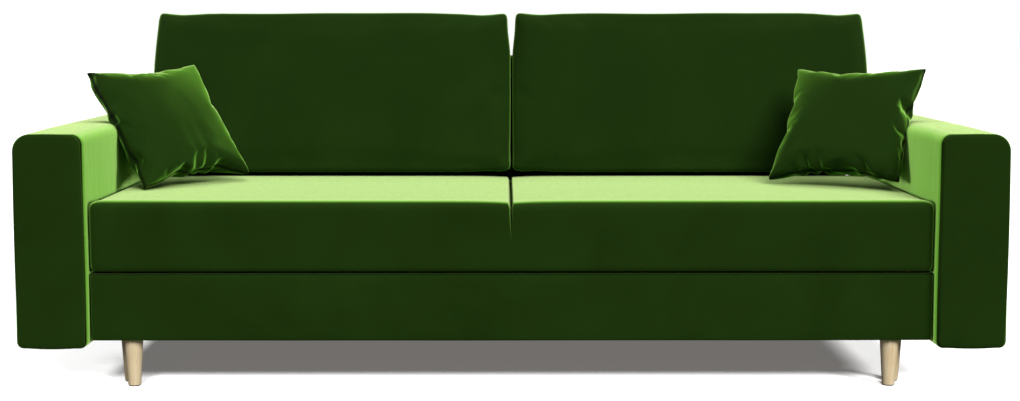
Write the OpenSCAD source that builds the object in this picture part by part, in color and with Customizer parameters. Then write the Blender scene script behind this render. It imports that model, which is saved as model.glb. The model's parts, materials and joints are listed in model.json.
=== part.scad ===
// Three-seat sofa bed with a pull-out seat, a folding backrest and a bedding box.
// Millimetres. X runs across the sofa, -Y is the front, Z is up from the floor.
// The origin is on the floor, under the middle of the sofa.

/* [Overall] */
// Width over both arms
sofa_w = 2300; // [1900:10:2700]
// Depth from the arm fronts to the rear edge
sofa_d = 1000; // [860:5:1200]

/* [Arms] */
// Width of one arm
arm_w = 160; // [120:1:220]
// Height of the arm tops
arm_top = 600; // [500:1:720]
// Height of the arms' underside
arm_bottom = 100; // [60:1:110]
// Corner radius of the arm outline
arm_r = 24; // [12:1:40]
// Thickness of the padded front panel
arm_panel_t = 8; // [6:1:40]
// Distance of the front panel's edge inside the arm outline
arm_panel_inset = 4; // [0:1:10]
// Thickness of the padded arm cover
arm_cover_t = 15; // [8:1:22]
// Timber section of the arm frame
arm_timber = 40; // [30:1:50]

/* [Seat] */
// Height of the seat surface
seat_top = 442; // [400:1:520]
// Thickness of the upholstered seat
seat_t = 166; // [120:1:190]
// Seat front behind the arm fronts
seat_setback = 38; // [10:1:80]
// Gap between the seat and each arm
seat_gap = 4; // [3:1:12]
// Width of the centre slit in the seat
slit_w = 5; // [3:1:12]
// Depth of the centre slit below the seat surface
slit_drop = 95; // [40:1:120]
// How far the seat pulls out
pull_out = 400; // [300:5:400]

/* [Base] */
// Height of the underside of the base
base_bottom = 118; // [100:1:140]
// Shadow gap between the seat and the front panel
base_gap = 5; // [3:1:10]
// Thickness of the box boards
board_t = 18; // [12:1:22]
// Thickness of the padding on the front panel
fascia_pad_t = 12; // [8:1:20]
// Thickness of the hardboard box floor
floor_t = 4; // [3:1:8]

/* [Backrest] */
// Lean of the backrest from upright, in degrees
back_lean = 12; // [8:1:18]
// Height of the top of the rigid backrest
backrest_top = 752; // [660:1:820]
// Thickness of the rigid backrest
backrest_t = 95; // [85:1:110]
// Half width of the rigid backrest taken off the seat's half width
backrest_inset = 48; // [46:1:80]
// Drop from the seat surface to the hinge pins when the backrest is up
hinge_drop = 235; // [220:1:240]

/* [Cushions] */
// Thickness of the loose back cushions
cushion_t = 135; // [100:1:170]
// Height of the top of the back cushions
cushion_top = 877; // [800:1:960]
// Clear seat depth in front of the back cushions
seat_depth = 652; // [540:1:700]
// Gap between the two back cushions
cushion_gap = 8; // [4:1:20]
// Back cushion ends taken off the seat's half width
cushion_inset = 30; // [20:1:60]
// Side of a throw pillow
pillow_size = 348; // [300:1:450]
// Thickness of a throw pillow in the middle
pillow_t = 108; // [60:1:140]

/* [Legs] */
// Leg diameter at the top
leg_top_d = 45; // [36:1:60]
// Leg diameter at the floor
leg_bottom_d = 30; // [22:1:36]
// Thickness of the felt glides
glide_t = 3; // [2:1:6]
// Side of the steel leg plates
leg_plate_w = 46; // [40:1:60]
// Thickness of the steel leg plates
leg_plate_t = 3; // [2:1:4]
// Front legs in from the seat's end
leg_inset = 91; // [60:1:200]

/* [Running gear] */
// Roller radius
roller_r = 20; // [14:1:24]
// Roller width
roller_w = 14; // [10:1:16]
// Axle diameter of the rollers
axle_d = 8; // [6:1:10]
// Hinge pin diameter
pin_d = 12; // [8:1:14]
// Radial clearance of pins in their bores
run_fit = 0.05; // [0.02:0.01:0.09]
// Clearance between parts that pass each other
slide_fit = 3; // [2:0.5:5]

/* [Hidden] */
$fn = 64;
VELVET = [0.16, 0.36, 0.07];
BEECH = [0.86, 0.72, 0.50];
PINE = [0.80, 0.66, 0.44];
CHIPBOARD = [0.72, 0.62, 0.47];
STEEL = [0.62, 0.63, 0.65];
NYLON = [0.85, 0.85, 0.82];
FELT = [0.25, 0.22, 0.20];

// Main planes
half_w = sofa_w / 2;
front_y = -sofa_d / 2;
rear_y = sofa_d / 2;
inner_x = half_w - arm_w;
seat_half = inner_x - seat_gap;
seat_front = front_y + seat_setback;
seat_bottom = seat_top - seat_t;
panel_top = seat_bottom - base_gap;

// Backrest: the pin line sits in the middle of its thickness, one half thickness above its low end
back_half = seat_half - backrest_inset;
hinge_e = backrest_t / 2;
back_corner_r = 32;
cushion_y = seat_front + seat_depth;
back_mid_y = cushion_y + (cushion_t + slide_fit + backrest_t / 2) / cos(back_lean);
hinge_z = seat_top - hinge_drop;
hinge_y = back_mid_y - hinge_drop * tan(back_lean);
hinge_reach = sqrt(2) * (hinge_e - back_corner_r) + back_corner_r;
back_len = (backrest_top - hinge_z) / cos(back_lean) + hinge_e;
hinge_lift = hinge_drop - backrest_t / 2;
seat_rear = hinge_y - hinge_reach - 2 * slide_fit;
deck_z = seat_top - backrest_t - 4;

// Fixed box
side_in = inner_x - board_t;
box_bottom = base_bottom + slide_fit;
rail_w = 60;
rail_h = 38;
box_front = seat_front + 62;
cover_rear_t = 6;
box_rear = rear_y - 10 - cover_rear_t;
board_top = panel_top - slide_fit;
step_y = seat_rear + 12;
rear_rail_y = hinge_y + hinge_reach + 25;

// Running gear
track_t = 3;
track_flange = 24;
track_z = box_bottom + rail_h + slide_fit;
roller_z = track_z + roller_r + 0.2;
cheek_t = 18;
cheek_out = back_half + 2;
cheek_bottom = box_bottom + rail_h + 8;
roller_x = side_in - track_t - 7 - roller_w;
roller_y = seat_rear - 70;
guide_t = 3;
axle_end_x = roller_x + roller_w + 4;

// Legs
leg_plate_z = base_bottom - leg_plate_t;
front_leg_x = seat_half - leg_inset;
front_leg_y = seat_front + fascia_pad_t + leg_plate_w / 2 + 2;
middle_leg_x = side_in - 57;
middle_leg_y = box_front + rail_w / 2;
frame_plate_z = box_bottom - leg_plate_t;
rear_leg_y = rear_rail_y + leg_plate_w / 2 + 4;
bolt_d = 8;

// Arm frame
arm_in = inner_x + arm_cover_t;
arm_out = half_w - arm_cover_t;
arm_floor = arm_bottom + arm_cover_t;
arm_ceiling = arm_top - arm_cover_t;
arm_front = front_y + arm_panel_t;
arm_rear = rear_y - arm_cover_t;
arm_bolt_y = [box_front + 30, box_rear - 40];
arm_bolt_z = [box_bottom + 66, board_top - 28];
arm_bolt_len = 62;
arm_lining_r = 6;

// Rounded rectangle from x0, y0 to x1, y1
module rounded(x0, y0, x1, y1, r) {
    translate([x0 + r, y0]) square([x1 - x0 - 2 * r, y1 - y0]);
    translate([x0, y0 + r]) square([x1 - x0, y1 - y0 - 2 * r]);
    for (x = [x0 + r, x1 - r], y = [y0 + r, y1 - r]) translate([x, y]) circle(r = r);
}

// A box given by two corners
module block(a, b) { translate(a) cube(b - a); }

// Extrudes an X-Z outline along Y, from y0 to y1
module along_y(y0, y1) {
    translate([0, y1, 0]) rotate([90, 0, 0]) linear_extrude(y1 - y0) children();
}

// Extrudes a Y-Z outline along X, from x0 to x1
module along_x(x0, x1) {
    translate([x0, 0, 0]) rotate([90, 0, 90]) linear_extrude(x1 - x0) children();
}

// side is -1 for the left of the sofa and 1 for the right
module on_side(side) {
    if (side < 0) mirror([1, 0, 0]) children();
    else children();
}

// A round bar along X, from x0 to x1
module bar_x(x0, x1, y, z, d) {
    translate([x0, y, z]) rotate([0, 90, 0]) cylinder(h = x1 - x0, d = d);
}

// ---------------------------------------------------------------- arms
module arm_bolt_holes(x0, x1, d) {
    for (y = arm_bolt_y, z = arm_bolt_z) bar_x(x0, x1, y, z, d);
}

module arm_frame(side) {
    post = 60;
    fit = slide_fit;
    front = arm_front + fit;
    color(PINE) on_side(side) difference() {
        union() {
            for (y = [front, arm_bolt_y[0] - post / 2, arm_bolt_y[1] - post / 2])
                block([arm_in + fit, y, arm_floor + fit], [arm_out - fit, y + post, arm_ceiling - fit]);
            for (z = [arm_floor + fit, arm_ceiling - fit - arm_timber])
                block([arm_in + fit, front, z], [arm_out - fit, arm_rear - fit, z + arm_timber]);
        }
        arm_bolt_holes(arm_in, arm_in + arm_bolt_len, bolt_d + 2 * run_fit);
    }
}

module arm_cover(side) {
    color(VELVET) on_side(side) difference() {
        along_y(arm_front, rear_y) rounded(inner_x, arm_bottom, half_w, arm_top, arm_r);
        along_y(arm_front - 1, arm_rear)
            rounded(arm_in, arm_floor, arm_out, arm_ceiling, arm_lining_r);
        arm_bolt_holes(inner_x - 1, arm_in + 1, bolt_d + 4);
    }
}

module arm_front_panel(side) {
    color(VELVET) on_side(side)
        along_y(front_y, arm_front)
            rounded(inner_x + arm_panel_inset, arm_bottom + arm_panel_inset, half_w - arm_panel_inset,
                arm_top - arm_panel_inset, arm_r - arm_panel_inset);
}

module arm_bolts() {
    head_t = 5;
    color(STEEL) for (side = [-1, 1]) on_side(side) for (y = arm_bolt_y, z = arm_bolt_z) {
        bar_x(side_in, arm_in + arm_bolt_len - 4, y, z, bolt_d);
        bar_x(side_in - head_t, side_in, y, z, 18);
    }
}

// ---------------------------------------------------------------- fixed box
module side_board(side) {
    color(CHIPBOARD) on_side(side) difference() {
        along_x(side_in, inner_x) polygon([[box_front, box_bottom], [box_rear, box_bottom],
            [box_rear, deck_z], [step_y, deck_z], [step_y, board_top], [box_front, board_top]]);
        arm_bolt_holes(side_in - 1, inner_x + 1, bolt_d + 2 * run_fit);
    }
}

module rear_board() {
    color(CHIPBOARD)
        block([-side_in, box_rear - board_t, box_bottom], [side_in, box_rear, deck_z]);
}

module rear_cover() {
    color(VELVET) block([-inner_x, box_rear, base_bottom], [inner_x, box_rear + cover_rear_t, deck_z]);
}

module front_cross_rail() {
    color(PINE) difference() {
        block([-side_in, box_front, box_bottom], [side_in, box_front + rail_w, box_bottom + rail_h]);
        leg_bolt_holes([[middle_leg_x, middle_leg_y]]);
    }
}

module rear_cross_rail() {
    color(PINE) difference() {
        block([-side_in, rear_rail_y, box_bottom],
            [side_in, box_rear - board_t - run_fit, box_bottom + rail_h]);
        leg_bolt_holes([[middle_leg_x, rear_leg_y]]);
    }
}

module box_floor() {
    color(CHIPBOARD)
        block([-side_in, box_front + rail_w, box_bottom], [side_in, rear_rail_y, box_bottom + floor_t]);
}

// ---------------------------------------------------------------- tracks
track_y = [roller_y - pull_out - 40, roller_y + 40];
track_screw_y = [for (i = [0 : 3]) track_y[0] + 30 + i * (track_y[1] - track_y[0] - 60) / 3];
track_screw_z = track_z - 16;

module track(side) {
    color(STEEL) on_side(side) difference() {
        along_y(track_y[0], track_y[1]) {
            translate([side_in - track_t, track_z - 30]) square([track_t, 30]);
            translate([side_in - track_flange - track_t, track_z - track_t])
                square([track_flange + track_t, track_t]);
        }
        for (y = track_screw_y)
            bar_x(side_in - track_t - 1, side_in + 1, y, track_screw_z, 4.2);
    }
}

module track_screws() {
    color(STEEL) for (side = [-1, 1]) on_side(side) for (y = track_screw_y) {
        bar_x(side_in - track_t, side_in, y, track_screw_z, 4);
        bar_x(side_in - track_t - 2.2, side_in - track_t, y, track_screw_z, 8);
    }
}

// ---------------------------------------------------------------- legs
module leg(x, y, top) {
    color(BEECH) translate([x, y, glide_t])
        cylinder(h = top - glide_t, d1 = leg_bottom_d, d2 = leg_top_d);
}

module leg_set(places, part, plate_z) {
    for (p = places, side = [-1, 1]) translate([side * p[0], p[1], 0]) {
        if (part == "plate") color(STEEL) difference() {
            block([-leg_plate_w / 2, -leg_plate_w / 2, plate_z],
                [leg_plate_w / 2, leg_plate_w / 2, plate_z + leg_plate_t]);
            translate([0, 0, plate_z - 1]) cylinder(h = leg_plate_t + 2, d = bolt_d + 0.2);
        }
        if (part == "bolt") color(STEEL)
            translate([0, 0, plate_z]) cylinder(h = leg_plate_t + 22, d = bolt_d);
        if (part == "glide") color(FELT) cylinder(h = glide_t, d = leg_bottom_d - 3);
    }
}

module leg_bolt_holes(places) {
    for (p = places, side = [-1, 1]) translate([side * p[0], p[1], base_bottom - 1])
        cylinder(h = 30, d = bolt_d + 2 * run_fit);
}

FRAME_LEGS = [[middle_leg_x, middle_leg_y], [middle_leg_x, rear_leg_y]];
FRONT_LEGS = [[front_leg_x, front_leg_y]];

// ---------------------------------------------------------------- pull-out seat
frame_margin = 30;
frame_t = 40;
frame_rail = 60;
frame_x = seat_half - frame_margin;
frame_y = [seat_front + frame_margin, seat_rear - frame_margin];

module seat_frame() {
    color(PINE) {
        for (y = [frame_y[0], frame_y[1] - frame_rail])
            block([-frame_x, y, seat_bottom], [frame_x, y + frame_rail, seat_bottom + frame_t]);
        for (x = [-frame_x, -frame_rail / 2, frame_x - frame_rail])
            block([x, frame_y[0] + frame_rail, seat_bottom],
                [x + frame_rail, frame_y[1] - frame_rail, seat_bottom + frame_t]);
    }
}

// One flat serpentine spring running front to back, as a strip of half rings
spring_wire = 4;
spring_r = 14;
spring_count = 7;
module spring_2d(length) {
    loops = floor(length / (2 * spring_r));
    straight = 24;
    for (i = [0 : loops - 1]) translate([0, spring_r + i * 2 * spring_r]) {
        s = i % 2 == 0 ? 1 : -1;
        translate([s * straight / 2, 0]) intersection() {
            difference() {
                circle(r = spring_r + spring_wire / 2);
                circle(r = spring_r - spring_wire / 2);
            }
            translate([s > 0 ? 0 : -2 * spring_r, -2 * spring_r]) square([2 * spring_r, 4 * spring_r]);
        }
        translate([-straight / 2, spring_r - spring_wire / 2]) square([straight, spring_wire]);
    }
    translate([-straight / 2, -spring_wire / 2]) square([straight, spring_wire]);
}

module seat_springs() {
    span = frame_y[1] - frame_y[0] - 2 * frame_rail;
    bay = frame_x - frame_rail * 1.5;
    color(STEEL) for (side = [-1, 1], i = [1 : spring_count])
        translate([side * (frame_rail / 2 + bay * i / (spring_count + 1)),
            frame_y[0] + frame_rail + 6, seat_bottom + frame_t - spring_wire])
            linear_extrude(spring_wire) spring_2d(span - 12);
}

// Foam block with its cover: a pocket below takes the timber frame and the springs
module seat_cushion() {
    r = 14;
    color(VELVET) difference() {
        along_x(-seat_half, seat_half) rounded(seat_front, seat_bottom, seat_rear, seat_top, r);
        block([-frame_x - 0.5, frame_y[0] - 0.5, seat_bottom - 1],
            [frame_x + 0.5, frame_y[1] + 0.5, seat_bottom + frame_t + 0.5]);
        block([-slit_w / 2, seat_front - 1, seat_top - slit_drop],
            [slit_w / 2, seat_rear + 1, seat_top + 1]);
    }
}

panel_board_front = seat_front + fascia_pad_t;
module front_panel_cover() {
    color(VELVET) block([-seat_half, seat_front, base_bottom - 4],
        [seat_half, panel_board_front, panel_top]);
}

module front_panel_board() {
    color(CHIPBOARD) difference() {
        block([-seat_half, panel_board_front, base_bottom],
            [seat_half, panel_board_front + board_t, panel_top]);
        leg_bolt_holes(FRONT_LEGS);
    }
}

module front_rail() {
    color(PINE) difference() {
        block([-cheek_out + cheek_t, panel_board_front + board_t, base_bottom],
            [cheek_out - cheek_t, box_front - 2 * slide_fit, base_bottom + rail_h]);
        leg_bolt_holes(FRONT_LEGS);
    }
}

module seat_cheek(side) {
    color(CHIPBOARD) on_side(side) difference() {
        block([cheek_out - cheek_t, panel_board_front + board_t, cheek_bottom],
            [cheek_out, seat_rear, seat_bottom]);
        bar_x(0, half_w, roller_y, roller_z, axle_d + 2 * run_fit);
    }
}

module roller_axles() {
    color(STEEL) for (side = [-1, 1]) on_side(side) {
        bar_x(cheek_out - cheek_t - 6, axle_end_x - 3, roller_y, roller_z, axle_d);
        bar_x(axle_end_x - 3, axle_end_x, roller_y, roller_z, axle_d + 6);
    }
}

module rollers() {
    color(NYLON) for (side = [-1, 1]) on_side(side) difference() {
        bar_x(roller_x, roller_x + roller_w, roller_y, roller_z, 2 * roller_r);
        bar_x(roller_x - 1, roller_x + roller_w + 1, roller_y, roller_z, axle_d + 2 * run_fit);
    }
}

// Steel plate with the upright slot that the hinge pins rise in
module guide_plate(side) {
    slot_r = pin_d / 2 + 0.15;
    wing = 34;
    low = hinge_z - 26;
    high = hinge_z + hinge_lift + 26;
    color(STEEL) on_side(side) difference() {
        union() {
            block([cheek_out, seat_rear - 150, low], [cheek_out + guide_t, hinge_y + wing, seat_bottom - 8]);
            block([cheek_out, seat_rear + 2, low], [cheek_out + guide_t, hinge_y + wing, high]);
        }
        for (z = [hinge_z, hinge_z + hinge_lift])
            bar_x(cheek_out - 1, cheek_out + guide_t + 1, hinge_y, z, 2 * slot_r);
        block([cheek_out - 1, hinge_y - slot_r, hinge_z],
            [cheek_out + guide_t + 1, hinge_y + slot_r, hinge_z + hinge_lift]);
        bar_x(cheek_out - 1, cheek_out + guide_t + 1, roller_y, roller_z, 2 * roller_r + 6);
    }
}

// ---------------------------------------------------------------- folding backrest
pin_in_x = back_half - 62;
frame_side = 45;
wall = 28;
bush_d = pin_d + 6;

module hinge_pins() {
    head_t = 3;
    color(STEEL) for (side = [-1, 1]) on_side(side) {
        bar_x(pin_in_x, cheek_out + guide_t + 0.3, hinge_y, hinge_z, pin_d);
        bar_x(cheek_out + guide_t + 0.3, cheek_out + guide_t + 0.3 + head_t, hinge_y, hinge_z, pin_d + 8);
    }
}

// The backrest's own frame: local Z runs up the back from the pin line, local -Y is its front
module lean() {
    translate([0, hinge_y, hinge_z]) rotate([-back_lean, 0, 0]) children();
}

module hinge_bore(d) {
    bar_x(-half_w, half_w, 0, 0, d);
}

back_hi = back_len - hinge_e;
pocket_lo = -hinge_e + wall - 6;
pocket_hi = back_hi - wall;
back_foam = 25;
rear_panel_t = 5;

module backrest_upholstery() {
    color(VELVET) lean() difference() {
        along_x(-back_half, back_half)
            rounded(-hinge_e, -hinge_e, hinge_e, back_hi, back_corner_r);
        block([-back_half + wall, -hinge_e + back_foam, pocket_lo],
            [back_half - wall, hinge_e + 1, pocket_hi]);
        hinge_bore(bush_d + 0.1);
    }
}

module backrest_frame() {
    x = back_half - wall - 0.5;
    y = [-hinge_e + back_foam + 0.5, hinge_e - rear_panel_t - 0.5];
    z = [pocket_lo + 0.5, pocket_hi - 0.5];
    color(PINE) lean() difference() {
        block([-x, y[0], z[0]], [x, y[1], z[1]]);
        for (s = [-1, 1]) translate([s * x / 2, 0, 0])
            block([-(x - 1.5 * frame_side) / 2, y[0] - 1, z[0] + frame_side],
                [(x - 1.5 * frame_side) / 2, y[1] + 1, z[1] - frame_side]);
        hinge_bore(bush_d + 0.1);
    }
}

module backrest_rear_panel() {
    x = back_half - wall - 0.5;
    color(VELVET) lean() block([-x, hinge_e - rear_panel_t, pocket_lo + 0.5],
        [x, hinge_e, pocket_hi - 0.5]);
}

module hinge_bushes() {
    color(NYLON) lean() for (side = [-1, 1]) on_side(side) difference() {
        bar_x(back_half - 60, back_half, 0, 0, bush_d);
        bar_x(back_half - 61, back_half + 1, 0, 0, pin_d + 2 * run_fit);
    }
}

// ---------------------------------------------------------------- loose cushions
module back_cushion(side) {
    r = 24;
    drop = 60;
    height = (cushion_top - seat_top - r * (1 - sin(back_lean))) / cos(back_lean) + r;
    color(VELVET) on_side(side) intersection() {
        translate([0, cushion_y, seat_top]) rotate([-back_lean, 0, 0])
            along_x(cushion_gap / 2, seat_half - cushion_inset)
                rounded(0, -drop, cushion_t, height, r);
        block([0, front_y, seat_top + 1], [half_w, rear_y + 200, cushion_top]);
    }
}

// A square pillow, thick in the middle and thin at its edge, clear of the seat and the arm
module pillow_body() {
    edge = 14;
    hull() {
        cube([pillow_size, edge, pillow_size], center = true);
        cube([pillow_size * 0.55, pillow_t, pillow_size * 0.55], center = true);
    }
}

// One slanting cut keeps the pillow off the rounded edge of the arm
module throw_pillow(side, middle, yaw, tilt, roll) {
    slant = 28;
    color(VELVET) difference() {
        translate(middle) rotate([0, 0, yaw]) rotate([-tilt, 0, 0]) rotate([0, roll, 0]) pillow_body();
        on_side(side) translate([inner_x + arm_r, 0, arm_top - arm_r]) rotate([0, slant, 0])
            block([-arm_r - 1, front_y, -half_w], [half_w, rear_y, half_w]);
        block([-half_w, front_y, 0], [half_w, rear_y, seat_top + 1]);
    }
}

pillow_z = seat_top + 154;
left_pillow = [-seat_half + 104, cushion_y - 193, pillow_z];
right_pillow = [seat_half - 127, cushion_y - 230, pillow_z + 2];

arm_frame(-1);  // arm_frame_left
arm_frame(1);  // arm_frame_right
arm_cover(-1);  // arm_cover_left
arm_cover(1);  // arm_cover_right
arm_front_panel(-1);  // arm_front_panel_left
arm_front_panel(1);  // arm_front_panel_right
arm_bolts();
side_board(-1);  // side_board_left
side_board(1);  // side_board_right
rear_board();
rear_cover();
front_cross_rail();
rear_cross_rail();
box_floor();
track(-1);  // track_left
track(1);  // track_right
track_screws();
leg(-middle_leg_x, middle_leg_y, frame_plate_z);  // middle_leg_left
leg(middle_leg_x, middle_leg_y, frame_plate_z);  // middle_leg_right
leg(-middle_leg_x, rear_leg_y, frame_plate_z);  // rear_leg_left
leg(middle_leg_x, rear_leg_y, frame_plate_z);  // rear_leg_right
leg_set(FRAME_LEGS, "plate", frame_plate_z);  // frame_leg_plates
leg_set(FRAME_LEGS, "bolt", frame_plate_z);  // frame_leg_bolts
leg_set(FRAME_LEGS, "glide", frame_plate_z);  // frame_leg_glides
seat_frame();
seat_springs();
seat_cushion();
front_panel_board();
front_panel_cover();
front_rail();
seat_cheek(-1);  // seat_cheek_left
seat_cheek(1);  // seat_cheek_right
guide_plate(-1);  // guide_plate_left
guide_plate(1);  // guide_plate_right
leg(-front_leg_x, front_leg_y, leg_plate_z);  // front_leg_left
leg(front_leg_x, front_leg_y, leg_plate_z);  // front_leg_right
leg_set(FRONT_LEGS, "plate", leg_plate_z);  // front_leg_plates
leg_set(FRONT_LEGS, "bolt", leg_plate_z);  // front_leg_bolts
leg_set(FRONT_LEGS, "glide", leg_plate_z);  // front_leg_glides
roller_axles();
rollers();
hinge_pins();
backrest_frame();
backrest_upholstery();
backrest_rear_panel();
hinge_bushes();
back_cushion(-1);  // back_cushion_left
back_cushion(1);  // back_cushion_right
throw_pillow(-1, left_pillow, 49, 36, -3);  // throw_pillow_left
throw_pillow(1, right_pillow, -33, 38, -2);  // throw_pillow_right
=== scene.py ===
# %% [markdown]
# # A velvet sofa bed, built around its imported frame
#
# The frame of this sofa bed already exists: timber, boards, steel, legs and plain blocks where the
# upholstery goes. This lesson covers it the way an upholsterer would. Tight covers go over the arms, the
# front panel and the backrest. A foam seat is slit down the middle. Two boxy back cushions and two throw
# pillows are filled by a cloth simulation. Every piece rides on a body of the frame, so that the seat can be
# pulled out and the backrest laid flat.

import json
import math

import bpy
import numpy as np
from mathutils import Matrix, Vector, noise


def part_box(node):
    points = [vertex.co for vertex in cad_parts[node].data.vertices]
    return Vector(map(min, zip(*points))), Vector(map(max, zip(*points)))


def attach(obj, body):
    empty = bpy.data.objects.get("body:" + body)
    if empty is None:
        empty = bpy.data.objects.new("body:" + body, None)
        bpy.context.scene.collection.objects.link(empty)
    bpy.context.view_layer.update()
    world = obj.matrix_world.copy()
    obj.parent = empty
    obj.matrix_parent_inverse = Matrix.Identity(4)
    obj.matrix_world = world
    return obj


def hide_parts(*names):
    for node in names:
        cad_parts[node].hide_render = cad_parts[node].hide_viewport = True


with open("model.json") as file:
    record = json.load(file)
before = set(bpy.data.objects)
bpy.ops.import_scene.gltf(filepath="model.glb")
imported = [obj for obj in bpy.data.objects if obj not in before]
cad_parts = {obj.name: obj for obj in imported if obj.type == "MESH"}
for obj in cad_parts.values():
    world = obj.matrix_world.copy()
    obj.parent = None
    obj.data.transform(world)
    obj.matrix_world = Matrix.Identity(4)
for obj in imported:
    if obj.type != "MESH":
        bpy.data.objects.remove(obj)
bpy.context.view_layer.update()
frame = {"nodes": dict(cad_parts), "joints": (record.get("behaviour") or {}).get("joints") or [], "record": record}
scene = bpy.context.scene
MM = 0.001
# Blender seeds its vector noise from the clock, so a fixed seed keeps every run the same.
noise.seed_set(5)

# %% [markdown]
# ## The camera
#
# The sofa is seen from a standing photographer's distance with a normal lens, almost straight from the front
# and a little from above. A camera looks down its own -Z axis, so a quarter turn about X makes it look
# level, and a few degrees less make it look down.

# %% Camera
CAMERA_PLACE = (-0.0163, -4.4008, 0.8597)
CAMERA_PITCH = 0.10493
CAMERA_TURN = -0.00303
CAMERA_LENS = 60.06
FILM_WIDTH = 36
camera_data = bpy.data.cameras.new("studio_camera")
camera_data.sensor_width = FILM_WIDTH
camera_data.lens = CAMERA_LENS
camera = bpy.data.objects.new("studio_camera", camera_data)
camera.location = CAMERA_PLACE
camera.rotation_euler = (math.radians(90) - CAMERA_PITCH, 0, CAMERA_TURN)
scene.collection.objects.link(camera)
scene.camera = camera
print("camera at", tuple(round(v, 3) for v in camera.location))

# %% [markdown]
# ## Colours and nodes
#
# A colour is picked as an sRGB hex value, but a shader works in linear light, so one function converts it.
# One more function adds a node, sets its values and makes its links, which keeps each finish short enough
# to read as a recipe.


# %% Colour and node helpers
def linear(hex_colour):
    """An sRGB hex value such as '#3f651f' as linear RGBA."""
    parts = [int(hex_colour[i : i + 2], 16) / 255 for i in (1, 3, 5)]
    return [p / 12.92 if p <= 0.04045 else ((p + 0.055) / 1.055) ** 2.4 for p in parts] + [1.0]


def add_node(tree, kind, inputs, **settings):
    """Adds a node; an input that is given a socket is linked to it, and any other value is set."""
    made = tree.nodes.new(kind)
    for name, value in settings.items():
        setattr(made, name, value)
    for name, value in inputs.items():
        if isinstance(value, bpy.types.NodeSocket):
            tree.links.new(value, made.inputs[name])
        else:
            made.inputs[name].default_value = value
    return made


def new_finish(name):
    """An empty material with its Principled shader and Object coordinates."""
    material = bpy.data.materials.new(name)
    material.use_nodes = True
    tree = material.node_tree
    shader = tree.nodes["Principled BSDF"]
    place = add_node(tree, "ShaderNodeTexCoord", {}).outputs["Object"]
    return material, tree, shader, place


def stretched(tree, place, scale):
    """Object coordinates scaled along each axis, for a pattern that is longer one way."""
    return add_node(tree, "ShaderNodeMapping", {"Vector": place, "Scale": scale}).outputs["Vector"]


def pattern(tree, place, size, detail=2.0, warp=0.0):
    """Noise whose patches are about size metres across, from 0 to 1."""
    settings = {"Vector": place, "Scale": 1 / size, "Detail": detail, "Distortion": warp}
    return add_node(tree, "ShaderNodeTexNoise", settings).outputs["Fac"]


def spread(tree, value, low, high, to_low=0.0, to_high=1.0):
    """Maps low..high of a value to another range, with the ends held."""
    limits = {"Value": value, 1: low, 2: high, 3: to_low, 4: to_high}
    return add_node(tree, "ShaderNodeMapRange", limits, clamp=True).outputs["Result"]


def mixed(tree, amount, first, second, blend="MIX"):
    """One colour turning into another; a Mix node keeps its colour sockets at places 6 and 7."""
    sockets = {0: amount, 6: first, 7: second}
    made = add_node(tree, "ShaderNodeMix", sockets, data_type="RGBA", blend_type=blend)
    return made.outputs[2]


def bumped(tree, height, depth, normal=None):
    """A surface that rises and falls by depth metres."""
    inputs = {"Height": height, "Distance": depth, "Strength": 1.0}
    if normal is not None:
        inputs["Normal"] = normal
    return add_node(tree, "ShaderNodeBump", inputs).outputs["Normal"]


def set_values(shader, **values):
    """Constants straight on the shader's sockets, as in Roughness=0.8 or Sheen_Weight=1."""
    for name, value in values.items():
        shader.inputs[name.replace("_", " ")].default_value = value


print("helpers ready")

# %% [markdown]
# ## Velvet
#
# Upholstery velvet is a dense forest of short fibres. Seen end on it swallows light and looks dark. Seen
# along a slope it shows the lit sides of the fibres and turns bright, which is why every rounded edge of a
# velvet sofa glows. That glow is partly the sheen of the shader and partly a painted sheen: a Layer Weight
# mixes pale lit greens into the base colour where the surface is seen edge on. Where a hand has brushed the
# pile it leans another way, so broad soft patches and faint streaks along the nap vary the colour. The pile
# itself is under a millimetre, and is drawn about twice as coarse here so that it still shows. In a seam, a
# slit or where cloth rests on cloth no light reaches the pile, so an attribute painted on the mesh there
# darkens it as painted shade.


# %% Velvet
VELVET_DEEP = "#1b3306"
VELVET_BRUSHED = "#1f390a"
# The lit and pale greens are a painted sheen, mixed into the base colour where the velvet is seen edge on.
VELVET_PAINTED_SHEEN = "#80c540"
VELVET_PAINTED_SHEEN_PALE = "#dcf0a8"
VELVET_SHEEN = "#a8e060"
PILE = 1.6 * MM


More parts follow.
